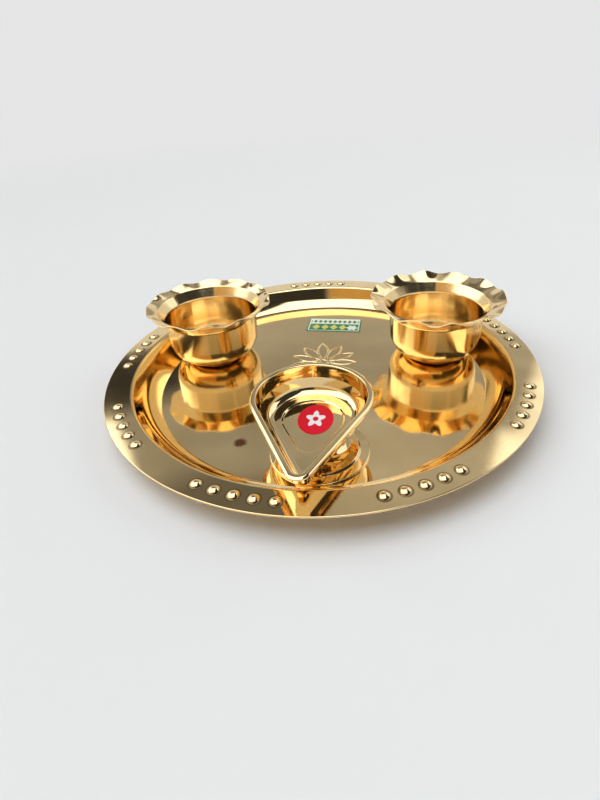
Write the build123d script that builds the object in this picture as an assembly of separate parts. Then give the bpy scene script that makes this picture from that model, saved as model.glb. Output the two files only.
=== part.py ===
from build123d import *
from math import asin, cos, degrees, radians, sin
import os

# Sizes are in millimetres and turns in degrees.
# The middle of the plate's underside is the origin, +Z is up and -Y is the front.
# Bearings are counted from +X about the plate's middle.

# Plate: a round tray pressed from sheet, with a flat rim around a shallow well.
plate_diameter = 250.0
sheet = 1.0
well_depth = 12.8
rim_width = 13.6
rim_fall = 0.5
wall_run = 16.1
wall_slope = 55.0
crest_round = 4.0
floor_band_width = 11.3
floor_rise = 0.35

# Beads: domes pushed up out of the rim in evenly spaced groups.
bead_diameter = 7.2
bead_height = 1.7
bead_pitch = 9.35
bead_circle_share = 0.53
bead_group_count = 9
beads_per_group = 5
bead_group_turn = 90.2

# Lotus: a raised line ornament on the floor.
lotus_reach = 25.0
lotus_line_width = 1.1
lotus_line_height = 0.4
lotus_x = 1.0
lotus_label_gap = 16.9
petal_turns = (0.0, 32.0, 64.0, 96.0)
petal_length_shares = (1.0, 0.94, 0.88, 0.84)
petal_bulge_share = 0.135
leaf_end_share = 2.6
lotus_heart_share = 0.16
lotus_ring_share = 0.13
lotus_ring_x_share = 0.3
lotus_ring_y_share = 0.42

# Paper label on the floor and paper dot in the lamp.
paper = 0.2
label_width = 39.0
label_depth = 21.0
label_corner = 1.5
label_bearing = 81.3
label_gap = 5.32
label_turn = -9.5
dot_width = 17.8
dot_length = 24.0
dot_x = 1.2

# Cups: two bowls whose wall opens at a flare and ends in a fluted lip.
cup_sheet = 0.8
cup_base_diameter = 32.0
cup_heel_round = 3.0
cup_heel_turn = 12.0
cup_belly_round = 15.0
cup_side_lean = 2.0
cup_side_height = 13.6
cup_shoulder_round = 2.5
cup_flare_slope = 54.0
cup_flare_length = 5.8
cup_lip_slope = 25.0
cup_bead_diameter = 1.2
flute_count = 12
flute_lift = 1.3
flute_draw = 0.3
flute_sections = 4
left_lip_diameter = 77.6
left_cup_bearing = 153.9
left_cup_gap = 1.03
left_cup_turn = 8.0
right_lip_diameter = 82.4
right_cup_bearing = 17.9
right_cup_gap = 2.58
right_cup_turn = 0.0

# Lamp: a teardrop pan with a spout, standing on a trumpet foot.
lamp_bearing = 267.3
lamp_overhang = 0.69
lamp_turn = -6.2
lamp_height = 29.0
pan_sheet = 1.0
pan_length = 88.0
pan_back_radius = 29.9
pan_tip_radius = 5.6
flange_width = 3.0
flange_thickness = 1.2
flange_tip_round = 2.8
pan_wall_drop = 7.0
pan_wall_inset = 1.2
pan_wall_tip_round = 2.7
pan_shelf_drop = 0.8
pan_shelf_inset = 1.0
pan_shelf_tip_round = 2.6
pan_cove_drop = 4.8
pan_cove_inset = 2.8
pan_cove_tip_round = 2.4
pan_ledge_drop = 1.9
pan_ledge_inset = 4.8
pan_ledge_tip_round = 3.0
recess_depth = 0.8
recess_inset = 1.4
recess_tip_round = 7.2
recess_side_run = 0.8

foot_diameter = 49.8
foot_edge = 1.0
foot_step_share = 0.8
foot_step = 0.8
foot_disc_rise = 0.4
foot_stem_diameter = 13.0
foot_flare_round = 9.8
foot_forward = 7.4
foot_sideways = 3.3

overrun = 1.0


def revolved(edges):
    """Turn a closed chain of edges, drawn in radius and height, about the upright axis."""
    return revolve(Plane.XZ * make_face(edges), Axis.Z)


def chain(*points):
    """Straight edges joining the points in order."""
    return Polyline(*points).edges()


# Levels and radii of the plate.
plate_radius = plate_diameter / 2
crest_radius = plate_radius - rim_width
crease_radius = crest_radius - wall_run
floor_radius = crease_radius - floor_band_width
floor_level = sheet + floor_rise
crest_level = sheet + well_depth
edge_level = crest_level - rim_fall
bead_circle_radius = plate_radius - rim_width * bead_circle_share


def standing(bearing, distance, turn):
    """A place on the floor at a bearing and a distance from the middle."""
    return Rot(0, 0, bearing) * Pos(distance, 0, floor_level) * Rot(0, 0, turn - bearing)


# The label lies on the flat floor, a gap inside its edge.
label_place = standing(label_bearing, floor_radius - label_depth / 2 - label_gap, label_turn)

# The wall is a cove, a straight slope and a rounded crest that meet smoothly.
slope_sine = sin(radians(wall_slope))
slope_cosine = cos(radians(wall_slope))
run_left = wall_run - crest_round * slope_sine
climb_left = well_depth - crest_round * (1 - slope_cosine)
slope_length = (climb_left * slope_sine - run_left * (1 - slope_cosine)) / (
    slope_sine**2 - slope_cosine * (1 - slope_cosine)
)
cove_round = (run_left - slope_length * slope_cosine) / slope_sine


def plate_wall(start, cove, crest):
    """Edges from the floor up the wall and over the crest, with the given radii."""
    cove_arc = JernArc(start, (1, 0), cove, wall_slope)
    slope_line = Line(cove_arc @ 1, cove_arc @ 1 + (cove_arc % 1) * slope_length)
    crest_arc = JernArc(slope_line @ 1, slope_line % 1, crest, -wall_slope)
    return [cove_arc, slope_line, crest_arc]


upper_wall = plate_wall((crease_radius, sheet), cove_round, crest_round)
lower_wall = plate_wall((crease_radius, 0), cove_round + sheet, crest_round - sheet)
upper_crest_end = upper_wall[-1] @ 1
lower_crest_end = lower_wall[-1] @ 1
rim_outline = chain(
    upper_crest_end,
    (plate_radius, edge_level),
    (plate_radius, edge_level - sheet),
    lower_crest_end,
)
floor_outline = chain(
    (crease_radius, 0),
    (0, 0),
    (0, floor_level),
    (floor_radius, floor_level),
    (crease_radius, sheet),
)
plate = revolved([*upper_wall, *rim_outline, *lower_wall, *floor_outline])

# Each bead is the top of a ball, hollow below, whose foot is the bead's diameter at the rim.
bead_radius = bead_diameter / 2
ball_radius = (bead_radius**2 + bead_height**2) / (2 * bead_height)
bead_level = crest_level - rim_fall * (1 - bead_circle_share)
ball_level = bead_level + bead_height - ball_radius
bead_floor = bead_level - sheet / 2
bead_step = degrees(bead_pitch / bead_circle_radius)
ball = Pos(0, 0, ball_level) * Sphere(ball_radius)
cap_room = Pos(0, 0, bead_floor) * Cylinder(
    ball_radius, ball_radius, align=(Align.CENTER, Align.CENTER, Align.MIN)
)
dome = ball & cap_room
hollow = Pos(0, 0, ball_level) * Sphere(ball_radius - sheet)
bead_places = []
for group in range(bead_group_count):
    group_turn = bead_group_turn + group * 360 / bead_group_count
    for bead in range(beads_per_group):
        bead_turn = group_turn + (bead - (beads_per_group - 1) / 2) * bead_step
        bead_places.append(Rot(0, 0, bead_turn) * Pos(bead_circle_radius, 0, 0))
plate += [place * dome for place in bead_places]
plate -= [place * hollow for place in bead_places]


def petal(turn, length):
    """A raised outline shaped like a pointed leaf, turned about the heart of the lotus."""

    def leaf(margin):
        root = Vector(0, lotus_reach * lotus_heart_share + margin * leaf_end_share)
        tip = Vector(0, length - margin * leaf_end_share)
        bulge = Vector(length * petal_bulge_share - margin, 0)
        middle = (root + tip) * 0.5
        right_side = ThreePointArc(root, middle + bulge, tip)
        left_side = ThreePointArc(tip, middle - bulge, root)
        return make_face([right_side, left_side])

    return Rot(0, 0, turn) * extrude(leaf(0) - leaf(lotus_line_width), lotus_line_height + sheet / 2)


def raised_ring(radius):
    """A raised ring whose line is centred on the given radius."""
    band = Circle(radius + lotus_line_width / 2) - Circle(radius - lotus_line_width / 2)
    return extrude(band, lotus_line_height + sheet / 2)


lotus = [raised_ring(lotus_reach * lotus_heart_share - lotus_line_width)]
for petal_turn, length_share in zip(petal_turns, petal_length_shares):
    for turn in sorted({petal_turn, -petal_turn}):
        lotus.append(petal(turn, lotus_reach * length_share))
for side in (-1, 1):
    ring_place = Pos(side * lotus_reach * lotus_ring_x_share, -lotus_reach * lotus_ring_y_share, 0)
    lotus.append(ring_place * raised_ring(lotus_reach * lotus_ring_share))
lotus_y = label_place.position.Y - label_depth / 2 - lotus_label_gap - lotus_reach
lotus_place = Pos(lotus_x, lotus_y, floor_level - sheet / 2)
plate += [lotus_place * line for line in lotus]

label = label_place * extrude(RectangleRounded(label_width, label_depth, label_corner), paper)


# The cup's wall is followed once for its outside and once for its inside.
heel_left = 90 - cup_side_lean - cup_heel_turn
shoulder_turn = 90 - cup_side_lean - cup_flare_slope


def cup_wall(inward):
    """Edges from the base to the neck, moved inward by the given thickness."""
    base_point = (cup_base_diameter / 2, inward)
    heel = JernArc(base_point, (1, 0), cup_heel_round - inward, cup_heel_turn)
    belly = JernArc(heel @ 1, heel % 1, cup_belly_round - inward, heel_left)
    side_length = cup_side_height / cos(radians(cup_side_lean))
    side = Line(belly @ 1, belly @ 1 + (belly % 1) * side_length)
    shoulder = JernArc(side @ 1, side % 1, cup_shoulder_round + inward, -shoulder_turn)
    flare = Line(shoulder @ 1, shoulder @ 1 + (shoulder % 1) * cup_flare_length)
    return [heel, belly, side, shoulder, flare]


def make_cup(lip_diameter):
    """One bowl, its neck bead and its fluted lip."""
    outside = cup_wall(0)
    inside = cup_wall(cup_sheet)
    outer_neck = outside[-1] @ 1
    inner_neck = inside[-1] @ 1
    base = chain(inside[0] @ 0, (0, cup_sheet), (0, 0), outside[0] @ 0)
    bowl = revolved([*outside, *inside, *base, Line(outer_neck, inner_neck)])
    neck_point = (outer_neck + inner_neck) * 0.5
    # The bead's circle starts inside the flare's wall, so its seam is hidden.
    bead_circle = Pos(*neck_point) * Rot(0, 0, 180 + cup_flare_slope) * Circle(cup_bead_diameter / 2)
    bead = revolve(Plane.XZ * bead_circle, Axis.Z)
    lip_run = lip_diameter / 2 - neck_point.X
    lip_rise = lip_run * sin(radians(cup_lip_slope)) / cos(radians(cup_lip_slope))
    half_sheet = Vector(0, cup_sheet / 2)

    def lip_strip(turn):
        wave = cos(radians(turn * flute_count))
        edge = neck_point + Vector(lip_run - flute_draw * wave, lip_rise + flute_lift * wave)
        corners = (neck_point - half_sheet, edge - half_sheet, edge + half_sheet, neck_point + half_sheet)
        return Rot(0, 0, turn) * (Plane.XZ * make_face(Polyline(*corners, close=True)))

    quarter_waves = flute_count // 4
    strip_step = 360 / flute_count / flute_sections
    strips = [lip_strip(strip_step * index) for index in range(quarter_waves * flute_sections + 1)]
    quarter = loft(strips)
    return bowl + bead + [Rot(0, 0, 90 * index) * quarter for index in range(4)]


# Each cup's base stands a gap inside the crease at the foot of the plate's wall.
base_reach = crease_radius - cup_base_diameter / 2
left_place = standing(left_cup_bearing, base_reach - left_cup_gap, left_cup_turn)
right_place = standing(right_cup_bearing, base_reach - right_cup_gap, right_cup_turn)
left_cup = left_place * make_cup(left_lip_diameter)
right_cup = right_place * make_cup(right_lip_diameter)

# The pan's outline is a large circle and a small one at the spout, joined by tangents.
tip_distance = pan_length - pan_back_radius - pan_tip_radius
taper_sine = (pan_back_radius - pan_tip_radius) / tip_distance
taper_turn = degrees(asin(taper_sine))


def teardrop(inset, tip_round, level):
    """The pan's outline moved inward, with its own tip radius, at a level."""
    back = pan_back_radius - inset
    tip_middle = (0, (tip_round - back) / taper_sine)
    back_arc = CenterArc((0, 0), back, -taper_turn, 180 + 2 * taper_turn)
    tip_arc = CenterArc(tip_middle, tip_round, 180 + taper_turn, 180 - 2 * taper_turn)
    sides = [Line(back_arc @ 1, tip_arc @ 0), Line(tip_arc @ 1, back_arc @ 0)]
    return Pos(0, 0, level) * make_face([back_arc, sides[0], tip_arc, sides[1]])


wall_foot_inset = flange_width + pan_wall_inset
shelf_inset = wall_foot_inset + pan_shelf_inset
cove_foot_inset = shelf_inset + pan_cove_inset
ledge_inset = cove_foot_inset + pan_ledge_inset
wall_foot_level = lamp_height - pan_wall_drop
shelf_level = wall_foot_level - pan_shelf_drop
cove_foot_level = shelf_level - pan_cove_drop
ledge_level = cove_foot_level - pan_ledge_drop
recess_level = ledge_level - recess_depth
recess_top_inset = ledge_inset + recess_inset
recess_floor_inset = recess_top_inset + recess_side_run
pan_under_level = recess_level - pan_sheet
pan_steps = (
    (flange_width, flange_tip_round, lamp_height),
    (wall_foot_inset, pan_wall_tip_round, wall_foot_level),
    (shelf_inset, pan_shelf_tip_round, shelf_level),
    (cove_foot_inset, pan_cove_tip_round, cove_foot_level),
    (ledge_inset, pan_ledge_tip_round, ledge_level),
)
recess_steps = (
    (recess_top_inset, recess_tip_round, ledge_level),
    (recess_floor_inset, recess_tip_round - recess_side_run, recess_level),
)


def stacked(steps, outward, upward):
    """A solid through the outlines of the steps, all moved outward and upward."""
    outlines = [teardrop(inset - outward, tip + outward, level + upward) for inset, tip, level in steps]
    return loft(outlines, ruled=True)


flange = extrude(teardrop(0, pan_tip_radius, lamp_height - flange_thickness), flange_thickness)
mouth = extrude(teardrop(*pan_steps[0]), overrun)
recess_mouth = extrude(teardrop(*recess_steps[0]), overrun)
pan_outside = flange + stacked(pan_steps, pan_sheet, -pan_sheet)
pan_outside += stacked(recess_steps, pan_sheet, -pan_sheet)
pan = pan_outside - stacked(pan_steps, 0, 0) - mouth - stacked(recess_steps, 0, 0) - recess_mouth

# The foot is a hollow trumpet under the pan's flat bottom.
foot_radius = foot_diameter / 2
stem_radius = foot_stem_diameter / 2
flare_foot_radius = stem_radius + foot_flare_round
flare_level = foot_edge + foot_disc_rise + foot_step
step_radius = foot_radius * foot_step_share
hollow_level = flare_level - foot_edge
flare_middle = (flare_foot_radius, flare_level + foot_flare_round)
outer_flare = CenterArc(flare_middle, foot_flare_round, 180, 90)
inner_flare = CenterArc(flare_middle, foot_flare_round + foot_edge, 180, 90)
foot_outline = chain(
    inner_flare @ 1,
    (foot_radius - foot_edge, hollow_level - foot_disc_rise),
    (foot_radius - foot_edge, 0),
    (foot_radius, 0),
    (foot_radius, foot_edge),
    (step_radius, foot_edge + foot_disc_rise),
    (step_radius, flare_level),
    outer_flare @ 1,
)
stem_outline = chain(
    outer_flare @ 0,
    (stem_radius, pan_under_level),
    (0, pan_under_level),
    (0, flare_middle[1]),
    inner_flare @ 0,
)
foot_place = Pos(foot_sideways, -foot_forward, 0)
foot = foot_place * revolved([outer_flare, inner_flare, *foot_outline, *stem_outline])

dot = extrude(Ellipse(dot_width / 2, dot_length / 2), paper)
dot = Pos(dot_x, 0, recess_level) * dot

# The foot's front edge reaches a little past the crease, over the start of the cove.
lamp_distance = crease_radius - foot_radius + lamp_overhang
lamp_place = standing(lamp_bearing, lamp_distance, lamp_turn) * foot_place.inverse()

nodes = {
    "thali_plate": plate,
    "plate_label": label,
    "left_cup": left_cup,
    "right_cup": right_cup,
    "diya_pan": lamp_place * pan,
    "diya_foot": lamp_place * foot,
    "size_dot": lamp_place * dot,
}

os.makedirs("parts", exist_ok=True)
for name, shape in nodes.items():
    export_step(shape, f"parts/{name}.step")
    print(name, round(shape.volume), "cubic millimetres")
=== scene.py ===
"""Dressed model of a brass puja thali with two fluted cups and a teardrop oil lamp."""

import logging
import math
from collections.abc import Callable, Iterable, Mapping, Sequence
from dataclasses import dataclass
from enum import Enum
from typing import Any

import bpy
from mathutils import Matrix, Vector


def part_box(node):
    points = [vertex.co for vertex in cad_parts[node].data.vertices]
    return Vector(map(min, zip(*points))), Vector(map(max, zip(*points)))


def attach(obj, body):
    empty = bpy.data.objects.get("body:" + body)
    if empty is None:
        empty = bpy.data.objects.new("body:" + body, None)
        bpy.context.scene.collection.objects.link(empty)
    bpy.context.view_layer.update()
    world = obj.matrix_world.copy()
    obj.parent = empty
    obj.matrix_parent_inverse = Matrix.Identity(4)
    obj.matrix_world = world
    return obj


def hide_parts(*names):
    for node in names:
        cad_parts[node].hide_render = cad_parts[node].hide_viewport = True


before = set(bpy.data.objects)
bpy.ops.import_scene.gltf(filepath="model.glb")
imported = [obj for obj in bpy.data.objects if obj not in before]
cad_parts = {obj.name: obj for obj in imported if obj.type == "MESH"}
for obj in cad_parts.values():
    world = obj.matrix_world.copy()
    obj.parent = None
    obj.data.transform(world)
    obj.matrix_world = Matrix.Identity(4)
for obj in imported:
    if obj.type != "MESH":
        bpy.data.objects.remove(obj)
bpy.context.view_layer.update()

LOG = logging.getLogger("thali")
MM = 0.001
DEGREE = 180 / math.pi
ARC_STEP = 1.5  # longest step of an arc, in millimetres
SUPPORT = 0.12  # first and last step of a straight run, in millimetres
LEAST_CUT = 1e-4  # a corner that is cut less stays sharp
TINY = 1e-6

Point2 = tuple[float, float]
Point3 = tuple[float, float, float]
Colour = tuple[float, float, float, float]


class Body(Enum):
    """The bodies of the frame that pieces ride on."""

    PLATE = "plate"
    LEFT_CUP = "left_cup"
    RIGHT_CUP = "right_cup"
    LAMP = "lamp"


class Slot(Enum):
    """The record's material slots."""

    PLATE = "plate_brass"
    CUP = "cup_brass"
    LAMP = "lamp_brass"
    LABEL = "label_paper"
    DOT = "dot_paper"


def shade(*levels: int) -> Colour:
    """Turn a screen colour into the linear colour that a shader takes.

    Args:
        levels: Red, green and blue from 0 to 255.

    Returns:
        The linear colour with full alpha.
    """
    shares = [level / 255 for level in levels]
    return *(s / 12.92 if s <= 0.04045 else ((s + 0.055) / 1.055) ** 2.4 for s in shares), 1.0


def math_node(operation: str, swapped: bool = False) -> Callable[..., "Sock"]:
    """Make a Sock method that adds one Math node.

    Args:
        operation: The node's operation.
        swapped: Whether the other value comes first.

    Returns:
        The method.
    """

    def method(sock: "Sock", *others: Any) -> "Sock":
        """Add the node on this value and any other."""
        values = (*others, sock) if swapped else (sock, *others)
        settings = {"operation": operation}
        return sock.graph.add("ShaderNodeMath", settings, dict(enumerate(values)))

    return method


class Sock:
    """A number in a shader graph that takes part in ordinary arithmetic.

    Angles are in radians. angle_from gives the angle of the point whose height is this value
    and whose reach is the other.
    """

    __add__ = __radd__ = math_node("ADD")
    __sub__ = math_node("SUBTRACT")
    __rsub__ = math_node("SUBTRACT", swapped=True)
    __mul__ = __rmul__ = math_node("MULTIPLY")
    __truediv__ = math_node("DIVIDE")
    __rtruediv__ = math_node("DIVIDE", swapped=True)
    __pow__ = math_node("POWER")
    __abs__ = math_node("ABSOLUTE")
    least = math_node("MINIMUM")
    most = math_node("MAXIMUM")
    fraction = math_node("FRACT")
    cosine = math_node("COSINE")
    arcsine = math_node("ARCSINE")
    angle_from = math_node("ARCTAN2")

    def __init__(self, graph: "Graph", socket: bpy.types.NodeSocket) -> None:
        """Hold a graph's output socket."""
        self.graph = graph
        self.socket = socket

    def centred(self) -> "Sock":
        """How far a value lies past the nearest whole number, from -0.5 to 0.5."""
        return (self + 0.5).fraction() - 0.5

    def length_with(self, other: "Sock") -> "Sock":
        """Length of the line that runs this far one way and the other value across it."""
        return (self * self + other * other) ** 0.5

    def ease(self, low: float, high: float) -> "Sock":
        """Rise smoothly from 0 at low to 1 at high, or fall where low is the larger.

        Args:
            low: Value that gives 0.
            high: Value that gives 1.

        Returns:
            The eased share.
        """
        start, end, first, last = (low, high, 0.0, 1.0) if low < high else (high, low, 1.0, 0.0)
        ends = {"Value": self, "From Min": start, "From Max": end, "To Min": first, "To Max": last}
        return self.graph.add("ShaderNodeMapRange", {"interpolation_type": "SMOOTHSTEP"}, ends)


class Graph:
    """A node tree that is filled by expressions."""

    def __init__(self, tree: bpy.types.NodeTree) -> None:
        """Take over a node tree and empty it."""
        self.tree = tree
        tree.nodes.clear()

    def add(
        self,
        kind: str,
        settings: Mapping[str, Any] | None = None,
        sockets: Mapping[Any, Any] | None = None,
        out: int | str = 0,
    ) -> Sock:
        """Add a node, set it up and feed its sockets.

        Args:
            kind: The node's type name.
            settings: Properties that are set before the sockets.
            sockets: Values or links by socket name, identifier or number.
            out: The output that is wanted.

        Returns:
            The wanted output.
        """
        node = self.tree.nodes.new(kind)
        for name, value in (settings or {}).items():
            setattr(node, name, value)
        for key, value in (sockets or {}).items():
            target = self._socket(node.inputs, key)
            if isinstance(value, Sock):
                self.tree.links.new(value.socket, target)
            else:
                target.default_value = value
        return Sock(self, self._socket(node.outputs, out) if node.outputs else None)

    @staticmethod
    def _socket(sockets: Any, key: int | str) -> bpy.types.NodeSocket:
        """Find a socket among a node's by number, identifier or name."""
        named = [socket for socket in sockets if socket.identifier == key]
        return named[0] if named else sockets[key]

    def mix(self, share: Any, first: Any, second: Any) -> Sock:
        """Blend two colours.

        Args:
            share: Share of the second colour.
            first: The first colour.
            second: The second colour.

        Returns:
            The blended colour.
        """
        colours = {"Factor_Float": share, "A_Color": first, "B_Color": second}
        return self.add("ShaderNodeMix", {"data_type": "RGBA"}, colours, "Result_Color")

    def noise(self, size: float, detail: float = 4.0) -> Sock:
        """Cloudy noise between 0 and 1 on the piece's own coordinates.

        Args:
            size: Size of its patches in millimetres.
            detail: Number of finer layers.

        Returns:
            The noise value.
        """
        sockets = {"Vector": self.place(), "Scale": 1 / (size * MM), "Detail": detail}
        return self.add("ShaderNodeTexNoise", None, sockets)

    def place(self) -> Sock:
        """The piece's own coordinates in metres."""
        return self.add("ShaderNodeTexCoord", None, None, "Object")

    def parts(self, vector: Sock) -> tuple[Sock, Sock, Sock]:
        """Split a vector into its three numbers."""
        split = self.add("ShaderNodeSeparateXYZ", None, {0: vector}).socket.node
        return tuple(Sock(self, output) for output in split.outputs)

    def bump(self, height: Sock, depth: float) -> Sock:
        """Turn a height into a disturbed normal.

        Args:
            height: Height between 0 and 1.
            depth: Depth of the relief in millimetres.

        Returns:
            The new normal.
        """
        sockets = {"Height": height, "Distance": depth * MM, "Strength": 1.0}
        return self.add("ShaderNodeBump", None, sockets)

    def principled(self, sockets: Mapping[str, Any]) -> Sock:
        """Add a Principled shader with the given sockets."""
        return self.add("ShaderNodeBsdfPrincipled", None, sockets)

    def output(self, surface: Sock) -> None:
        """Lead a shader to the material's output."""
        self.add("ShaderNodeOutputMaterial", None, {"Surface": surface})


def new_material(name: str) -> tuple[bpy.types.Material, Graph]:
    """Make an empty node material.

    Args:
        name: Its name.

    Returns:
        The material and its graph.
    """
    material = bpy.data.materials.new(name)
    material.use_nodes = True
    return material, Graph(material.node_tree)


@dataclass(frozen=True)
class Cloud:
    """Cloudy noise whose values between two bounds are eased to a share of 0 to 1."""

    size: float
    detail: float
    bounds: Point2

    def share(self, graph: Graph) -> Sock:
        """The cloud's share at each spot of a piece."""
        return graph.noise(self.size, self.detail).ease(*self.bounds)


@dataclass(frozen=True)
class Stain:
    """A frayed brown spot on a sheet, in millimetres."""

    spot: Point2
    size: float
    colour: Colour = shade(120, 62, 26)
    strength: float = 0.9
    blur: float = 0.2
    spread: float = 1.7
    fray_size: float = 2.5

    def share(self, graph: Graph, across: Sock, along: Sock) -> Sock:
        """Share of the stain at each spot.

        Args:
            graph: The graph that the values belong to.
            across: Place to the right in metres.
            along: Place to the back in metres.

        Returns:
            Its strength in the middle, falling to 0 past its frayed edge.
        """
        aside = across / MM - self.spot[0]
        ahead = along / MM - self.spot[1]
        fray = graph.noise(self.fray_size) * self.size
        reach = aside.length_with(ahead) + fray
        return reach.ease(self.size * self.spread, self.size) * self.strength


@dataclass(frozen=True)
class BeadRing:
    """The groups of beads around the rim, in millimetres and degrees."""

    circle: float = 117.79
    step: float = 4.548
    turn: float = 90.2
    groups: int = 9
    beads: int = 5
    radius: float = 2.9
    row_end: float = 0.1
    foot_inside: Point2 = (-0.8, -0.1)
    foot_outside: Point2 = (0.9, 0.15)

    def foot(self, across: Sock, along: Sock, reach: Sock) -> Sock:
        """Share of the narrow ring round each bead's foot.

        Args:
            across: Place to the right in metres.
            along: Place to the back in metres.
            reach: Distance from the plate's middle in metres.

        Returns:
            1 at the foot of a bead, falling to 0 on both sides.
        """
        pitch = 360 / self.groups
        bearing = along.angle_from(across) * DEGREE - self.turn + 360
        seat = (bearing / pitch).centred() * (pitch / self.step)
        row = abs(seat).ease(self.beads / 2 + self.row_end, self.beads / 2)
        aside = (seat + self.beads).centred() * math.radians(self.step) * self.circle
        outward = reach / MM - self.circle
        gap = aside.length_with(outward) - self.radius
        return row * gap.ease(*self.foot_inside) * gap.ease(*self.foot_outside)


RIM_BEADS = BeadRing()


@dataclass(frozen=True)
class PolishedBrass:
    """Buffed yellow brass with handling marks, buffing lines, a slightly wavy sheet and painted
    shade round the feet of any beads.

    A tint is a share of the deeper colour, and a blur is what a mark adds to the roughness.
    """

    name: str
    bright: Colour = (0.92, 0.7, 0.37, 1.0)
    deep: Colour = (0.86, 0.61, 0.29, 1.0)
    gloss: float = 0.04
    wave_size: float = 45.0
    wave_detail: float = 1.0
    wave_depth: float = 0.08
    spun: float = 0.0
    streak_turn: float = 0.25
    handling: Cloud = Cloud(30.0, 4.0, (0.35, 0.75))
    handling_tint: float = 0.6
    handling_blur: float = 0.05
    specks: Cloud = Cloud(1.6, 3.0, (0.52, 0.8))
    speck_blur: float = 0.05
    line_size: float = 0.9
    line_detail: float = 3.0
    line_tint: float = 0.3
    line_blur: float = 0.02
    stain: Stain | None = None
    beads: BeadRing | None = None
    # Painted shade: a dark, rougher ring in the crease round each bead's foot.
    bead_foot_shade: Colour = shade(58, 42, 20)
    bead_foot_shade_least: float = 0.6
    bead_foot_shade_span: float = 0.3
    bead_foot_shade_blur: float = 0.15

    def material(self) -> bpy.types.Material:
        """Build the brass.

        Returns:
            The material.
        """
        material, graph = new_material(self.name)
        across, along, _ = graph.parts(graph.place())
        reach = across.length_with(along)
        clouds = self.handling.share(graph)
        specks = self.specks.share(graph)
        grooves = {"W": reach, "Scale": 1 / (self.line_size * MM), "Detail": self.line_detail}
        lines = graph.add("ShaderNodeTexNoise", {"noise_dimensions": "1D"}, grooves)
        tint = clouds * self.handling_tint + lines * self.line_tint
        colour = graph.mix(tint, self.bright, self.deep)
        roughness = self.gloss + clouds * self.handling_blur
        roughness = roughness + specks * self.speck_blur + lines * self.line_blur
        if self.stain:
            tarnish = self.stain.share(graph, across, along)
            colour = graph.mix(tarnish, colour, self.stain.colour)
            roughness = roughness + tarnish * self.stain.blur
        # Painted shade in the crease round each bead's foot, in patches.
        if self.beads:
            patches = clouds * self.bead_foot_shade_span + self.bead_foot_shade_least
            painted_foot_shade = self.beads.foot(across, along, reach) * patches
            colour = graph.mix(painted_foot_shade, colour, self.bead_foot_shade)
            roughness = roughness + painted_foot_shade * self.bead_foot_shade_blur
        waves = graph.noise(self.wave_size, self.wave_detail)
        sockets = {
            "Base Color": colour,
            "Metallic": 1.0,
            "Roughness": roughness,
            "Normal": graph.bump(waves, self.wave_depth),
            "Anisotropic": self.spun,
            "Anisotropic Rotation": self.streak_turn,
        }
        graph.output(graph.principled(sockets))
        return material


@dataclass(frozen=True)
class PaperStock:
    """The fibres, smudges and gloss of a printed paper, in millimetres."""

    fibre_size: float
    smudge_size: float
    roughness: float
    coat: float = 0.0
    specular: float = 0.5
    fibre_depth: float = 0.01
    smudge_detail: float = 3.0
    smudge_blur: float = 0.2

    def fibre(self, graph: Graph) -> Sock:
        """Noise of the paper's fibres."""
        return graph.noise(self.fibre_size)

    def finish(self, graph: Graph, colour: Sock, fibre: Sock) -> None:
        """Lead a print on this paper to the material's output.

        Args:
            graph: The material's graph.
            colour: The print's colour.
            fibre: Noise of the fibres.
        """
        smudge = graph.noise(self.smudge_size, self.smudge_detail)
        sockets = {
            "Base Color": colour,
            "Roughness": self.roughness + smudge * self.smudge_blur,
            "Normal": graph.bump(fibre, self.fibre_depth),
            "Coat Weight": self.coat,
            "Specular IOR Level": self.specular,
        }
        graph.output(graph.principled(sockets))


@dataclass(frozen=True)
class Lozenges:
    """A printed row of lozenges: their step, the row's level, their slant and their edge."""

    step: float
    level: float
    slant: float
    edge: Point2

    def share(self, column: Sock, row: Sock) -> Sock:
        """Share of the print at a column and a row, in millimetres."""
        aside = abs((column / self.step).centred()) * self.step
        return (aside + abs(row - self.level) * self.slant).ease(*self.edge)


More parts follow.
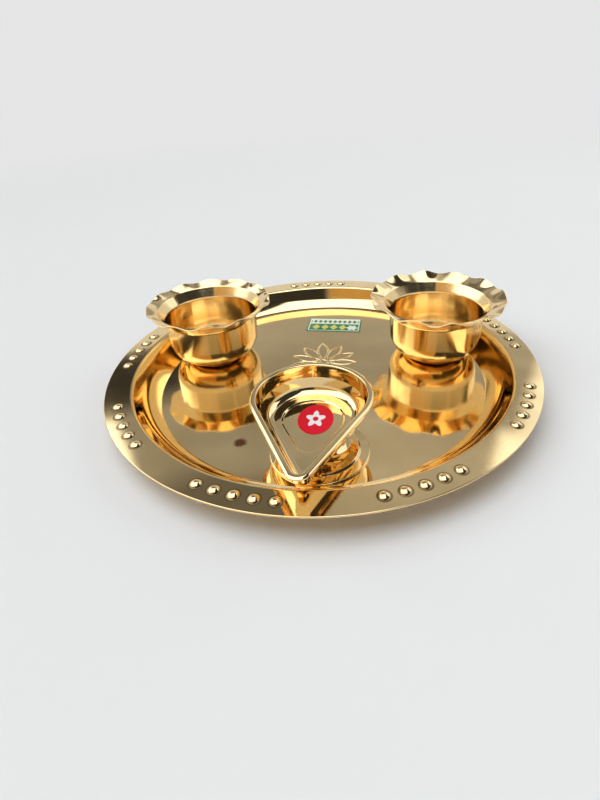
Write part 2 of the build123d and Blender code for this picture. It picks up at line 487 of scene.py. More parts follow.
@dataclass(frozen=True)
class LabelPaper:
    """Glossy green paper with diamonds and a rosette, a pale band of leaves and a thin frame.

    A pair of lengths is an edge of the print, which begins at the first and is full at the
    second.
    """

    name: str
    width: float
    depth: float
    green: Colour = shade(22, 120, 62)
    shadow: Colour = shade(16, 98, 50)
    pale: Colour = shade(226, 232, 214)
    gold: Colour = shade(214, 206, 96)
    frame_outside: Point2 = (1.0, 1.2)
    frame_inside: Point2 = (2.0, 1.8)
    band_foot: Point2 = (0.9, 1.2)
    band_inset: Point2 = (1.6, 1.8)
    leaves: Lozenges = Lozenges(3.6, 5.0, 0.6, (1.7, 1.4))
    rosette_spot: Point2 = (13.2, -4.4)
    rosette_petals: int = 6
    rosette_wave: float = 0.7
    rosette_edge: Point2 = (3.7, 3.4)
    diamonds: Lozenges = Lozenges(6.4, -4.0, 0.7, (3.0, 2.7))
    diamonds_left: Point2 = (-16.2, -16.0)
    diamonds_right: Point2 = (9.6, 9.4)
    fibre_tint: float = 0.25
    stock: PaperStock = PaperStock(0.7, 9.0, 0.28, coat=0.25)

    def material(self) -> bpy.types.Material:
        """Build the label's print.

        Returns:
            The material.
        """
        material, graph = new_material(self.name)
        across, along, _ = graph.parts(graph.place())
        column = across / MM
        row = along / MM
        edge = (self.width / 2 - abs(column)).least(self.depth / 2 - abs(row))
        frame_line = edge.ease(*self.frame_outside) * edge.ease(*self.frame_inside)
        band = row.ease(*self.band_foot) * edge.ease(*self.band_inset)
        leaves = self.leaves.share(column, row)
        aside = column - self.rosette_spot[0]
        ahead = row - self.rosette_spot[1]
        petals = (ahead.angle_from(aside) * self.rosette_petals).cosine() * self.rosette_wave
        rosette = (aside.length_with(ahead) - petals).ease(*self.rosette_edge)
        diamonds = self.diamonds.share(column, row)
        diamonds = diamonds * column.ease(*self.diamonds_right) * column.ease(*self.diamonds_left)
        fibre = self.stock.fibre(graph)
        ground = graph.mix(fibre * self.fibre_tint, self.green, self.shadow)
        ground = graph.mix(band, ground, self.pale)
        ground = graph.mix(leaves * band, ground, self.green)
        ground = graph.mix(rosette, ground, self.pale)
        ground = graph.mix(diamonds, ground, self.gold)
        ground = graph.mix(frame_line, ground, self.pale)
        self.stock.finish(graph, ground, fibre)
        return material


@dataclass(frozen=True)
class DotPaper:
    """Glossy red paper with a plain white flower."""

    name: str
    red: Colour = shade(222, 6, 38)
    shadow: Colour = shade(196, 6, 32)
    white: Colour = shade(240, 234, 232)
    length_share: float = 0.74
    petals: int = 5
    petal_wave: float = 1.1
    flower_edge: Point2 = (4.0, 3.7)
    heart_edge: Point2 = (1.5, 1.25)
    fibre_tint: float = 0.3
    stock: PaperStock = PaperStock(0.6, 7.0, 0.3, specular=0.25)

    def material(self) -> bpy.types.Material:
        """Build the dot's print.

        Returns:
            The material.
        """
        material, graph = new_material(self.name)
        across, along, _ = graph.parts(graph.place())
        column = across / MM
        row = along / MM * self.length_share
        reach = column.length_with(row)
        wave = (column.angle_from(row) * self.petals).cosine() * self.petal_wave
        fibre = self.stock.fibre(graph)
        ground = graph.mix(fibre * self.fibre_tint, self.red, self.shadow)
        ground = graph.mix((reach - wave).ease(*self.flower_edge), ground, self.white)
        ground = graph.mix(reach.ease(*self.heart_edge), ground, self.red)
        self.stock.finish(graph, ground, fibre)
        return material


@dataclass(frozen=True)
class Corner:
    """A corner of a section, with the radius that it is rounded to, in millimetres."""

    reach: float
    height: float
    rounding: float = 0.0


def moved_left(corners: Sequence[Corner], distance: float) -> list[Corner]:
    """Move a section sideways, as the other face of a sheet lies beside the first.

    Args:
        corners: The section's corners in order.
        distance: How far to the left of its way the copy lies.

    Returns:
        The corners of the copy.
    """
    ways = [
        Vector((b.reach - a.reach, b.height - a.height)).normalized()
        for a, b in zip(corners, corners[1:])
    ]
    sides = [Vector((-way.y, way.x)) for way in ways]
    copy = []
    for index, corner in enumerate(corners):
        before = sides[max(index - 1, 0)]
        after = sides[min(index, len(sides) - 1)]
        step = (before + after) / (1 + before.dot(after)) * distance
        turn = before.x * after.y - before.y * after.x
        rounding = corner.rounding - math.copysign(distance, turn) if corner.rounding else 0.0
        copy.append(Corner(corner.reach + step.x, corner.height + step.y, max(rounding, 0.0)))
    return copy


def softened(corners: Sequence[Corner], grain: float, bend: float = 7.0) -> list[Point2]:
    """Round a section's corners and divide it.

    Args:
        corners: The corners in order; the first and last stay as they are.
        grain: Longest straight step in millimetres.
        bend: Largest turn between two steps of an arc, in degrees.

    Returns:
        The points of the section.
    """
    path = [Vector((corners[0].reach, corners[0].height))]

    def run_to(goal: Vector) -> None:
        """Add straight steps up to a point, with close ones at both ends."""
        start = path[-1].copy()
        length = (goal - start).length
        if length < TINY:
            return
        stops = [length]
        if length > 4 * SUPPORT:
            count = max(1, math.ceil((length - 2 * SUPPORT) / grain))
            inner = [SUPPORT + (length - 2 * SUPPORT) * i / count for i in range(count + 1)]
            stops = [*inner, length]
        path.extend(start + (goal - start) * (stop / length) for stop in stops)

    for before, corner, after in zip(corners, corners[1:], corners[2:]):
        here = Vector((corner.reach, corner.height))
        way_in = (here - Vector((before.reach, before.height))).normalized()
        way_out = (Vector((after.reach, after.height)) - here).normalized()
        turn = math.atan2(way_in.x * way_out.y - way_in.y * way_out.x, way_in.dot(way_out))
        cut = corner.rounding * math.tan(abs(turn) / 2)
        run_to(here - way_in * cut)
        if cut > LEAST_CUT:
            by_length = math.ceil(corner.rounding * abs(turn) / ARC_STEP)
            count = max(2, by_length, math.ceil(math.degrees(abs(turn)) / bend))
            side = Vector((-way_in.y, way_in.x)) * math.copysign(corner.rounding, turn)
            middle = here - way_in * cut + side
            for index in range(1, count + 1):
                swing = Matrix.Rotation(turn * index / count, 2)
                path.append(middle + swing @ -side)
    run_to(Vector((corners[-1].reach, corners[-1].height)))
    return [(point.x, point.y) for point in path]


def full_turn(count: int) -> list[float]:
    """Angles of equal steps round a circle, in radians."""
    return [2 * math.pi * index / count for index in range(count)]


class Skin:
    """The points and faces of one piece, gathered in millimetres."""

    def __init__(self) -> None:
        """Start with nothing."""
        self.points: list[Point3] = []
        self.faces: list[tuple[int, ...]] = []

    def rings(self, rings: Iterable[Sequence[Point3]], closed: bool = True) -> None:
        """Join rings of points with faces; a ring of one point is a pole.

        Args:
            rings: The rings in order.
            closed: Whether each ring runs back to its start.
        """
        numbered = []
        for ring in rings:
            start = len(self.points)
            self.points.extend(ring)
            numbered.append(range(start, start + len(ring)))
        for low, high in zip(numbered, numbered[1:]):
            steps = max(len(low), len(high))
            for index in range(steps if closed else steps - 1):
                corners = [low[i % len(low)] for i in (index, index + 1)]
                corners += [high[i % len(high)] for i in (index + 1, index)]
                self.faces.append(tuple(dict.fromkeys(corners)))

    def turned(
        self,
        section: Sequence[Point2],
        count: int,
        shift: Callable[[float, float, float], Point2] | None = None,
        place: Matrix | None = None,
    ) -> None:
        """Turn a section about the upright axis.

        Args:
            section: Points in reach and height, outward below and inward above.
            count: Number of steps around.
            shift: Changes a point's reach and height by its angle, for a waved edge.
            place: Where the turned form stands, in millimetres.
        """
        turns = full_turn(count)
        rings = []
        for reach, height in section:
            ring = []
            for turn in turns if reach > TINY else turns[:1]:
                across, up = shift(reach, height, turn) if shift else (reach, height)
                point = Vector((across * math.cos(turn), across * math.sin(turn), up))
                ring.append(tuple(place @ point if place else point))
            rings.append(ring)
        self.rings(rings)

    def piece(self, name: str, place: Matrix, finish: bpy.types.Material) -> bpy.types.Object:
        """Make the piece's object.

        Args:
            name: The piece's name.
            place: Where it stands in the frame, in metres.
            finish: Its material.

        Returns:
            The smooth mesh object.
        """
        mesh = bpy.data.meshes.new(name)
        mesh.from_pydata([Vector(point) * MM for point in self.points], [], self.faces)
        mesh.shade_smooth()
        mesh.materials.append(finish)
        mesh.update()
        item = bpy.data.objects.new(name, mesh)
        bpy.context.scene.collection.objects.link(item)
        item.matrix_world = place
        return item


def middle_of(node: str) -> Vector:
    """The middle of a node's footprint, at the node's lowest level, in metres."""
    low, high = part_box(node)
    return Vector(((low.x + high.x) / 2, (low.y + high.y) / 2, low.z))


def standing(spot: Vector, turn: float) -> Matrix:
    """A place at a spot, turned about the upright axis by degrees."""
    return Matrix.Translation(spot) @ Matrix.Rotation(math.radians(turn), 4, "Z")


def settle(item: bpy.types.Object, body: Body, slot: Slot, *nodes: str) -> None:
    """Fix a piece to its body, hide the nodes that it stands for and report it.

    Args:
        item: The piece.
        body: The body that it moves with.
        slot: The slot that its finish belongs to; not used.
        nodes: The nodes of the frame that it stands for.
    """
    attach(item, body.value)
    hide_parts(*nodes)
    LOG.info("%s: %d faces on %s", item.name, len(item.data.polygons), body.value)


@dataclass
class ThaliPlate:
    """The round tray with its beaded rim and the lotus on its floor.

    Sizes are in millimetres, slopes in degrees. The lotus's shares are of its reach.
    """

    radius: float = 125.0
    sheet: float = 1.0
    crest_level: float = 13.8
    edge_level: float = 13.3
    crest_radius: float = 111.4
    crease_radius: float = 96.4
    crease_slope: float = 14.0
    floor_level: float = 1.35
    wall_slope: float = 55.0
    cove_round: float = 15.5
    crest_round: float = 2.4
    crease_round: float = 0.5
    edge_round: float = 0.4
    grain: float = 12.0
    segments: int = 512
    beads: BeadRing = RIM_BEADS
    bead_height: float = 1.4
    bead_foot_round: float = 0.15
    bead_grain: float = 0.5
    bead_bend: float = 4.0
    bead_segments: int = 28
    lotus_spot: Point2 = (1.0, 15.0)
    lotus_reach: float = 25.0
    root_share: float = 0.16
    petals: tuple[Point2, ...] = ((0.0, 1.0), (32.0, 0.94), (64.0, 0.88), (96.0, 0.84))
    petal_bulge: float = 0.135
    petal_steps: int = 24
    drop_share: float = 0.13
    drop_spots: tuple[Point2, ...] = ((-0.3, -0.42), (0.3, -0.42))
    ring_steps: int = 48
    line_width: float = 1.3
    line_height: float = 0.35
    line_end: float = 0.55
    line_taper: float = 6.0
    line_section: tuple[Point2, ...] = (
        *((-1.0, -0.05), (-0.72, 0.62), (-0.3, 0.95)),
        *((0.3, 0.95), (0.72, 0.62), (1.0, -0.05)),
    )
    finish: PolishedBrass = PolishedBrass(
        "polished_plate_brass", stain=Stain((-44.0, -62.0), 3.5), beads=RIM_BEADS
    )

    def section(self) -> list[Point2]:
        """The plate's section from the middle of its underside round to that of its floor."""
        start = math.radians(self.crease_slope)
        cove_turn = math.radians(self.wall_slope - self.crease_slope)
        run = self.cove_round * math.tan(cove_turn / 2) + self.crease_round
        crest_cut = self.crest_round * math.tan(math.radians(self.wall_slope) / 2)
        floor = Corner(0, self.floor_level)
        crease = Corner(self.crease_radius, self.floor_level, self.crease_round)
        cove = Corner(
            crease.reach + run * math.cos(start),
            crease.height + run * math.sin(start),
            self.cove_round,
        )
        crest = Corner(self.crest_radius - crest_cut, self.crest_level, self.crest_round)
        edge = Corner(self.radius, self.edge_level, self.edge_round)
        under = moved_left([floor, crease, cove, crest, edge], -self.sheet)
        under[-1] = Corner(self.radius, self.edge_level - self.sheet, self.edge_round)
        foot = [Corner(0, 0), Corner(under[1].reach, 0, self.crease_round)]
        return softened([*foot, *under[2:], edge, crest, cove, crease, floor], self.grain)

    def add_beads(self, skin: Skin) -> None:
        """Raise the domes of the rim, group by group.

        Args:
            skin: The skin that takes the domes.
        """
        ring = self.beads
        ball = (ring.radius**2 + self.bead_height**2) / (2 * self.bead_height)
        half_turn = math.asin(ring.radius / ball) / 2
        foot_cut = self.bead_foot_round * math.tan(half_turn)
        corners = [
            Corner(ring.radius + 2 * foot_cut, 0),
            Corner(ring.radius, 0, self.bead_foot_round),
            Corner(ball * math.tan(half_turn), self.bead_height, ball - self.bead_foot_round),
            Corner(0, self.bead_height),
        ]
        dome = softened(corners, self.bead_grain, self.bead_bend)
        fall = math.atan2(self.crest_level - self.edge_level, self.radius - self.crest_radius)
        level = self.edge_level + (self.radius - ring.circle) * math.tan(fall)
        for group in range(ring.groups):
            for bead in range(ring.beads):
                offset = (bead - (ring.beads - 1) / 2) * ring.step
                turn = math.radians(ring.turn + group * 360 / ring.groups + offset)
                place = (
                    Matrix.Rotation(turn, 4, "Z")
                    @ Matrix.Translation((ring.circle, 0, level))
                    @ Matrix.Rotation(fall, 4, "Y")
                )
                skin.turned(dome, self.bead_segments, place=place)

    def ridge(self, skin: Skin, path: Sequence[Vector], closed: bool) -> None:
        """Raise a rounded line along a path on the floor.

        Args:
            skin: The skin that takes the line.
            path: Points on the floor in millimetres.
            closed: Whether the line runs back to its start.
        """
        half = self.line_width / 2
        rows = []
        count = len(path)
        for index, point in enumerate(path):
            before = path[index - 1] if closed or index else point
            after = path[(index + 1) % count] if closed or index + 1 < count else point
            way = (after - before).normalized()
            side = Vector((way.y, -way.x))
            rise = min(1.0, min(index, count - 1 - index) / count * self.line_taper)
            swell = 1.0 if closed else self.line_end + (1 - self.line_end) * rise
            row = []
            for across, up in self.line_section:
                spot = point + side * (across * half * swell)
                row.append((spot.x, spot.y, self.floor_level + up * self.line_height * swell))
            rows.append(row)
        skin.rings([*rows, rows[0]] if closed else rows, closed=False)

    def add_lotus(self, skin: Skin) -> None:
        """Draw the petals, the heart and the two small rings of the lotus.

        Args:
            skin: The skin that takes the lines.
        """
        origin = Vector(self.lotus_spot)
        root = self.lotus_reach * self.root_share
        for turn, share in self.petals:
            length = self.lotus_reach * share
            bulge = length * self.petal_bulge
            for way in sorted({turn, -turn}):
                swing = Matrix.Rotation(math.radians(way), 2)
                for side in (-1, 1):
                    path = []
                    for index in range(self.petal_steps + 1):
                        along = index / self.petal_steps
                        bow = bulge * 4 * along * (1 - along)
                        leaf = Vector((side * bow, root + (length - root) * along))
                        path.append(origin + swing @ leaf)
                    self.ridge(skin, path, closed=False)
        drop = self.drop_share * self.lotus_reach
        rings = [(Vector((0, 0)), root - self.line_width)]
        rings += [(Vector(spot) * self.lotus_reach, drop) for spot in self.drop_spots]
        turns = full_turn(self.ring_steps)
        for spot, radius in rings:
            path = [origin + spot + Vector((math.cos(t), math.sin(t))) * radius for t in turns]
            self.ridge(skin, path, closed=True)

    def build(self) -> None:
        """Make the plate and dress it."""
        skin = Skin()
        skin.turned(self.section(), self.segments)
        self.add_beads(skin)
        self.add_lotus(skin)
        item = skin.piece("plate_body", Matrix.Identity(4), self.finish.material())
        settle(item, Body.PLATE, Slot.PLATE, "thali_plate")


@dataclass
class FlutedCup:
    """A round bowl with a conical flare and a waved lip, in millimetres and degrees."""

    node: str
    body: Body
    lip_diameter: float
    turn: float
    flute_lift: float
    finish: bpy.types.Material
    sheet: float = 0.8
    heel: Corner = Corner(16.315, 0.0, 3.0)
    belly: Corner = Corner(28.087, 2.502, 15.0)
    shoulder: Corner = Corner(28.997, 28.578, 2.5)
    neck: Corner = Corner(32.84, 33.87, 0.15)
    lip_slope: float = 25.0
    lip_round: float = 0.3
    flutes: int = 12
    flute_draw: float = 0.3
    grain: float = 1.2
    bend: float = 6.0
    segments: int = 288

    def waved(self, reach: float, height: float, turn: float) -> Point2:
        """Lift and stretch a point of the lip by the flutes.

        Args:
            reach: The point's distance from the axis.
            height: The point's height.
            turn: Its angle about the axis.

        Returns:
            The waved reach and height.
        """
        run = self.lip_diameter / 2 - self.neck.reach
        share = max(0.0, (reach - self.neck.reach) / run)
        wave = math.cos(turn * self.flutes) * share
        return reach - self.flute_draw * wave, height + self.flute_lift * wave

    def build(self) -> None:
        """Make the cup and dress it."""
        radius = self.lip_diameter / 2
        rise = (radius - self.neck.reach) * math.tan(math.radians(self.lip_slope))
        edge = Corner(radius, self.neck.height + rise, self.lip_round)
        outside = [Corner(0, 0), self.heel, self.belly, self.shoulder, self.neck, edge]
        inside = moved_left(outside, self.sheet)
        inside[-1] = Corner(inside[-1].reach, inside[-1].height, self.lip_round)
        inside[0] = Corner(0, self.sheet)
        skin = Skin()
        path = softened([*outside, *inside[::-1]], self.grain, self.bend)
        skin.turned(path, self.segments, self.waved)
        place = standing(middle_of(self.node), self.turn)
        item = skin.piece(f"{self.node}_shell", place, self.finish)
        settle(item, self.body, Slot.CUP, self.node)


@dataclass
class OilLamp:
    """The teardrop lamp: a coved pan with a spout on a trumpet foot, and its paper dot.

    Sizes are in millimetres. The pan's corners give the radius of its round back, and tips
    pairs that radius with the spout's.
    """

    turn: float = -6.2
    back_radius: float = 29.9
    edge_level: float = 28.0
    taper_sine: float = 0.46286
    foot_side: float = 3.3
    foot_forward: float = 7.4
    pan_sheet: float = 1.0
    pan_middle: Point2 = (0.0, -8.0)
    pan_grain: float = 2.0
    back_steps: int = 96
    side_steps: int = 24
    tip_steps: int = 32
    flange: tuple[Corner, ...] = (
        Corner(27.9, 27.6, 0.3),
        Corner(29.9, 27.6, 0.3),
        Corner(29.9, 28.4, 0.5),
        Corner(28.9, 29.0, 1.4),
    )
    pan_inside: tuple[Corner, ...] = (
        Corner(26.9, 29.0, 0.8),
        Corner(25.7, 22.0, 0.4),
        Corner(22.6, 14.5, 5.6),
        Corner(15.7, 14.5, 0.5),
        Corner(14.9, 13.7, 0.4),
        Corner(13.6, 13.7),
    )
    tips: tuple[Point2, ...] = (
        *((13.6, 5.1), (15.7, 7.2), (17.1, 3.0), (21.1, 2.4)),
        *((23.3, 2.6), (26.9, 2.8), (29.9, 5.6)),
    )
    foot_corners: tuple[Corner, ...] = (
        Corner(0, 11.9),
        Corner(5.5, 11.9),
        Corner(5.5, 1.2, 10.0),
        Corner(23.9, 0.8),
        Corner(23.9, 0.0, 0.2),
        Corner(24.9, 0.0, 0.3),
        Corner(24.9, 1.0, 0.5),
        Corner(20.3, 1.37, 0.5),
        Corner(19.4, 2.2, 0.6),
        Corner(6.5, 2.2, 9.7),
        Corner(6.5, 12.72),
        Corner(0, 12.72),
    )
    foot_grain: float = 3.0
    foot_segments: int = 192
    dot_size: Point2 = (17.8, 24.0)
    dot_section: tuple[Corner, ...] = (
        Corner(0, 0),
        Corner(1.0, 0.0, 0.004),
        Corner(0.998, 0.17, 0.01),
        Corner(0, 0.2),
    )
    dot_grain: float = 0.12
    dot_segments: int = 72
    finish: PolishedBrass = PolishedBrass("polished_lamp_brass", wave_size=22.0, wave_depth=0.012)

    def outline(self, back: float, tip: float, level: float) -> list[Point3]:
        """The pan's teardrop outline.

        Args:
            back: Radius of its round back.
            tip: Radius of its spout.
            level: Its height.

        Returns:
            Points around the outline, in millimetres in the lamp's own frame.
        """
        taper = math.asin(self.taper_sine)
        tip_middle = (tip - back) / self.taper_sine

        def arc(
            middle: float, radius: float, start: float, sweep: float, count: int
        ) -> list[Point2]:
            """Points of an arc about a point on the lamp's axis."""
            turns = [start + sweep * index / count for index in range(count + 1)]
            return [(radius * math.cos(t), middle + radius * math.sin(t)) for t in turns]

        def side(start: Point2, end: Point2) -> list[Point2]:
            """Points between the ends of two arcs."""
            shares = [index / self.side_steps for index in range(1, self.side_steps)]
            return [tuple(a + (b - a) * share for a, b in zip(start, end)) for share in shares]

        round_back = arc(0.0, back, -taper, math.pi + 2 * taper, self.back_steps)
        spout = arc(tip_middle, tip, math.pi + taper, math.pi - 2 * taper, self.tip_steps)
        points = [*round_back, *side(round_back[-1], spout[0])]
        points += [*spout, *side(spout[-1], round_back[0])]
        return [(x, y, level) for x, y in points]

    def tip_for(self, back: float) -> float:
        """The spout's radius that goes with a radius of the back."""
        for (low, first), (high, second) in zip(self.tips, self.tips[1:]):
            if back <= high:
                share = max(0.0, (back - low) / (high - low))
                return first + (second - first) * share
        return self.tips[-1][1]

    def pan(self) -> Skin:
        """The pan's closed skin, from its underside over its flange to its floor."""
        outside = moved_left(self.pan_inside, self.pan_sheet)[:0:-1]
        edge = Corner(self.back_radius, self.edge_level)
        under = softened([*outside, *self.flange[:2], edge], self.pan_grain)
        over = softened([edge, *self.flange[2:], *self.pan_inside], self.pan_grain)
        rings: list[Sequence[Point3]] = [[(*self.pan_middle, under[0][1])]]
        for back, level in under:
            tip = self.tip_for(back - self.pan_sheet) + self.pan_sheet
            rings.append(self.outline(back, min(tip, self.tips[-1][1]), level))
        for back, level in over[1:]:
            rings.append(self.outline(back, self.tip_for(back), level))
        rings.append([(*self.pan_middle, over[-1][1])])
        skin = Skin()
        skin.rings(rings)
        return skin

    def dot(self) -> Skin:
        """The oval paper dot, slightly domed at its edge."""
        width, length = self.dot_size
        rings = []
        for reach, height in softened(self.dot_section, self.dot_grain):
            across, along = width / 2 * reach, length / 2 * reach
            turns = full_turn(self.dot_segments)
            ring = [(across * math.cos(t), along * math.sin(t), height) for t in turns]
            rings.append(ring if reach > TINY else ring[:1])
        skin = Skin()
        skin.rings(rings)
        return skin

    def build(self) -> None:
        """Make the lamp's pieces and dress them."""
        brass = self.finish.material()
        foot_spot = middle_of("diya_foot")
        swing = Matrix.Rotation(math.radians(self.turn), 3, "Z")
        lamp_spot = foot_spot - swing @ Vector((self.foot_side, -self.foot_forward, 0)) * MM
        pan = self.pan().piece("diya_pan_shell", standing(lamp_spot, self.turn), brass)
        settle(pan, Body.LAMP, Slot.LAMP, "diya_pan")
        skin = Skin()
        skin.turned(softened(self.foot_corners, self.foot_grain), self.foot_segments)
        foot = skin.piece("diya_foot_trumpet", standing(foot_spot, self.turn), brass)
        settle(foot, Body.LAMP, Slot.LAMP, "diya_foot")
        paper = DotPaper("red_dot_paper").material()
        dot = self.dot().piece("flower_dot", standing(middle_of("size_dot"), self.turn), paper)
        settle(dot, Body.LAMP, Slot.DOT, "size_dot")


@dataclass
class PaperLabel:
    """The printed label, in millimetres; a layer pairs a share of its outline with a height."""

    width: float = 39.0
    depth: float = 21.0
    corner: float = 1.5
    corner_steps: int = 6
    thickness: float = 0.2
    layers: tuple[Point2, ...] = ((1.0, 0.0), (1.0, 0.16), (0.997, 0.2), (0.5, 0.2))
    turn: float = -9.5

    def build(self) -> None:
        """Make the label and dress it."""
        across = self.width / 2 - self.corner
        along = self.depth / 2 - self.corner
        middles = ((across, along), (-across, along), (-across, -along), (across, -along))
        outline = []
        for index, (x, y) in enumerate(middles):
            for step in range(self.corner_steps + 1):
                turn = math.radians(90 * (index + step / self.corner_steps))
                bow = (self.corner * math.cos(turn), self.corner * math.sin(turn))
                outline.append((x + bow[0], y + bow[1]))
        rings: list[Sequence[Point3]] = [[(0.0, 0.0, 0.0)]]
        for share, height in self.layers:
            rings.append([(x * share, y * share, height) for x, y in outline])
        rings.append([(0.0, 0.0, self.thickness)])
        skin = Skin()
        skin.rings(rings)
        paper = LabelPaper("green_label_paper", self.width, self.depth).material()
        item = skin.piece("leaf_label", standing(middle_of("plate_label"), self.turn), paper)
        settle(item, Body.PLATE, Slot.LABEL, "plate_label")


class Span(Enum):
    """How a panel of the room is measured, in degrees.

    ROUND: bearing from the back, to the right, and elevation.
    OVER: pitch from the back horizon over the zenith, and side from left to right.
    """

    ROUND = "round"
    OVER = "over"


class Light(Enum):
    """The colours of light in the room."""

    LAMP = shade(248, 249, 250)
    DAY = shade(240, 247, 255)
    AMBER = shade(255, 208, 132)


@dataclass(frozen=True)
class Panel:
    """A soft-edged part of the room, bright or dark, in one colour of light."""

    first: Point2
    second: Point2
    radiance: float
    light: Light
    blur: float
    span: Span = Span.ROUND

    def mask(self, ways: Mapping[Span, tuple[Sock, Sock]]) -> Sock:
        """Share of the panel in a direction.

        Args:
            ways: The direction's two angles, by the way of measuring.

        Returns:
            1 inside the panel, falling to 0 past its edges.
        """
        share: Any = 1.0
        for angle, (low, high) in zip(ways[self.span], (self.first, self.second)):
            share = share * angle.ease(low - self.blur, low + self.blur)
            share = share * angle.ease(high + self.blur, high - self.blur)
        return share


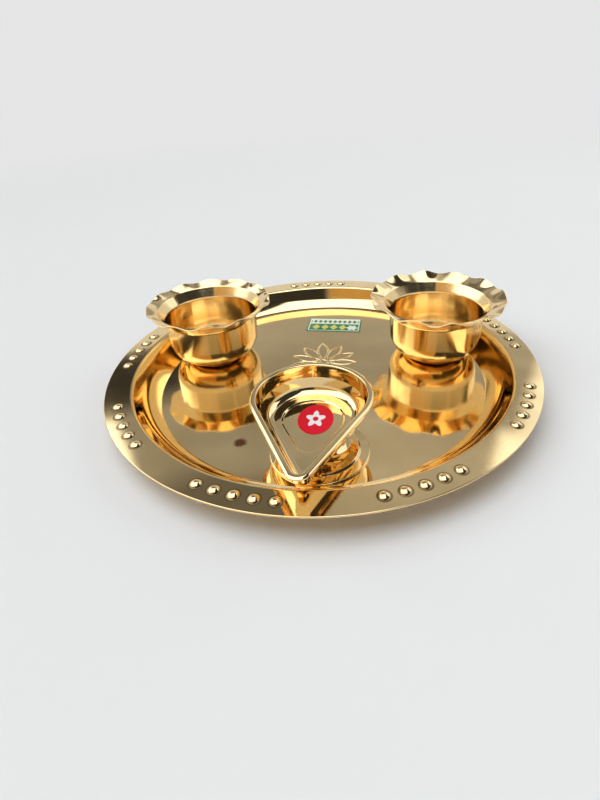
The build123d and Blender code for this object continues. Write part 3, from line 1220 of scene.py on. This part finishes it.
@dataclass
class Studio:
    """A pale sweep, a room of soft light and the camera, in metres."""

    pale: Colour = shade(236, 234, 230)
    grain: Colour = shade(230, 228, 224)
    grain_size: float = 60.0
    grain_detail: float = 3.0
    grain_share: float = 0.25
    paper_roughness: float = 0.9
    glow: Colour = shade(234, 235, 234)
    glow_strength: float = 0.95
    far: Point2 = (0.5, 1.3)
    wall_radius: float = 2.5
    wall_height: float = 1.1
    front_rise: float = 1.4
    rise_span: float = 0.2
    sweep_round: float = 0.3
    sweep_grain: float = 200.0
    sweep_bend: float = 4.0
    sweep_segments: int = 128
    dim: float = 0.04
    mottle: Point3 = (5.0, 5.0, 26.0)
    mottle_detail: float = 2.0
    mottle_least: float = 0.6
    mottle_span: float = 0.8
    panels: tuple[Panel, ...] = (
        Panel((-14.0, 31.0), (14.0, 54.0), 0.45, Light.LAMP, 2.0),
        Panel((-14.0, 31.0), (29.5, 35.0), 0.36, Light.LAMP, 2.0),
        Panel((-40.0, -8.0), (32.0, 54.0), 0.36, Light.LAMP, 1.5),
        Panel((-40.0, -2.0), (43.0, 54.0), 0.15, Light.LAMP, 2.5),
        Panel((-132.0, -38.0), (8.0, 46.0), 2.4, Light.DAY, 2.5),
        Panel((-60.0, -30.0), (32.5, 40.0), 2.4, Light.DAY, 1.0),
        Panel((29.0, 76.0), (14.0, 40.0), 1.4, Light.DAY, 1.2),
        Panel((27.0, 76.0), (38.0, 47.0), 1.6, Light.DAY, 1.0),
        Panel((138.0, 145.0), (10.0, 40.0), 0.35, Light.LAMP, 3.0),
        Panel((-166.0, -152.0), (10.0, 32.0), 0.12, Light.AMBER, 3.0),
        Panel((112.0, 146.0), (-50.0, -5.0), 0.6, Light.AMBER, 2.5, Span.OVER),
        Panel((62.0, 117.0), (-48.0, 16.0), 2.4, Light.DAY, 2.5, Span.OVER),
    )
    camera_spot: Point3 = (0.0, -0.2619, 0.1648)
    camera_aim: Point3 = (0.0, 0.0, 0.0012)
    camera_roll: float = -0.05
    lens: float = 22.5
    shift: Point2 = (-0.0285, -0.0318)
    clip_start: float = 0.01

    def raised(self, reach: float, height: float, turn: float) -> Point2:
        """Raise the wall's front, which lies behind the camera, with a slope at both sides.

        Args:
            reach: A point's distance from the middle.
            height: The point's height.
            turn: Its angle about the middle.

        Returns:
            The reach and the raised height.
        """
        share = min(1.0, max(0.0, 0.5 - math.sin(turn) / (2 * self.rise_span)))
        return reach, height * (1 + (self.front_rise - 1) * share)

    def sweep(self) -> None:
        """Lay a round floor and let it run up into a wall that looks evenly pale."""
        material, graph = new_material("pale_sweep")
        across, along, _ = graph.parts(graph.place())
        far = across.length_with(along).ease(*self.far)
        grain = graph.noise(self.grain_size, self.grain_detail)
        tone = graph.mix(grain * self.grain_share, self.pale, self.grain)
        paper = graph.principled({"Base Color": tone, "Roughness": self.paper_roughness})
        light = {"Color": self.glow, "Strength": self.glow_strength}
        glow = graph.add("ShaderNodeEmission", None, light)
        seen = [
            graph.add("ShaderNodeLightPath", None, None, ray)
            for ray in ("Is Camera Ray", "Is Glossy Ray", "Is Transmission Ray")
        ]
        share = seen[0].most(seen[1]).most(seen[2]) * far
        graph.output(graph.add("ShaderNodeMixShader", None, {0: share, 1: paper, 2: glow}))
        corners = [
            Corner(0, 0),
            Corner(self.wall_radius / MM, 0, self.sweep_round / MM),
            Corner(self.wall_radius / MM, self.wall_height / MM),
        ]
        skin = Skin()
        path = softened(corners, self.sweep_grain, self.sweep_bend)
        skin.turned(path, self.sweep_segments, self.raised)
        item = skin.piece("sweep", Matrix.Identity(4), material)

    def room(self) -> None:
        """Light the room around the sweep, panel by panel."""
        world = bpy.data.worlds.new("room")
        bpy.context.scene.world = world
        world.use_nodes = True
        graph = Graph(world.node_tree)
        way = graph.add("ShaderNodeTexCoord", None, None, "Generated")
        across, along, up = graph.parts(way)
        ways = {
            Span.ROUND: (across.angle_from(along) * DEGREE, up.arcsine() * DEGREE),
            Span.OVER: (up.angle_from(along) * DEGREE, across.arcsine() * DEGREE),
        }
        factors = {0: way, 1: self.mottle}
        stretched = graph.add("ShaderNodeVectorMath", {"operation": "MULTIPLY"}, factors)
        sockets = {"Vector": stretched, "Scale": 1.0, "Detail": self.mottle_detail}
        clouds = graph.add("ShaderNodeTexNoise", None, sockets)
        tone: Any = self.dim
        colour: Any = Light.LAMP.value
        for panel in self.panels:
            mask = panel.mask(ways)
            tone = tone + mask * (panel.radiance - tone)
            colour = graph.mix(mask, colour, panel.light.value)
        strength = tone * (clouds * self.mottle_span + self.mottle_least)
        light = {"Color": colour, "Strength": strength}
        surface = graph.add("ShaderNodeBackground", None, light)
        graph.add("ShaderNodeOutputWorld", None, {"Surface": surface})

    def camera(self) -> None:
        """Set up the camera."""
        data = bpy.data.cameras.new("view")
        data.lens = self.lens
        data.shift_x, data.shift_y = self.shift
        data.clip_start = self.clip_start
        item = bpy.data.objects.new("view", data)
        bpy.context.scene.collection.objects.link(item)
        forward = (Vector(self.camera_aim) - Vector(self.camera_spot)).normalized()
        right = forward.cross(Vector((0, 0, 1))).normalized()
        above = right.cross(forward)
        roll = Matrix.Rotation(-self.camera_roll, 4, forward)
        axes = Matrix((right, above, -forward)).transposed().to_4x4()
        item.matrix_world = Matrix.Translation(self.camera_spot) @ roll @ axes
        bpy.context.scene.camera = item

    def build(self) -> None:
        """Set up the stage, the light and the camera."""
        self.sweep()
        self.room()
        self.camera()
        bpy.context.scene.view_settings.view_transform = "Standard"


def main() -> None:
    """Build the thali piece by piece."""
    logging.basicConfig(level=logging.INFO, format="%(name)s %(message)s")
    cup_brass = PolishedBrass(
        "polished_cup_brass", gloss=0.1, wave_size=26.0, wave_depth=0.02, spun=0.95
    ).material()
    left_cup = FlutedCup(
        "left_cup", Body.LEFT_CUP, lip_diameter=77.6, turn=8.0, flute_lift=0.9, finish=cup_brass
    )
    right_cup = FlutedCup(
        "right_cup", Body.RIGHT_CUP, lip_diameter=82.4, turn=0.0, flute_lift=1.2, finish=cup_brass
    )
    for part in (ThaliPlate(), PaperLabel(), left_cup, right_cup, OilLamp(), Studio()):
        part.build()


if __name__ == "__main__":
    main()
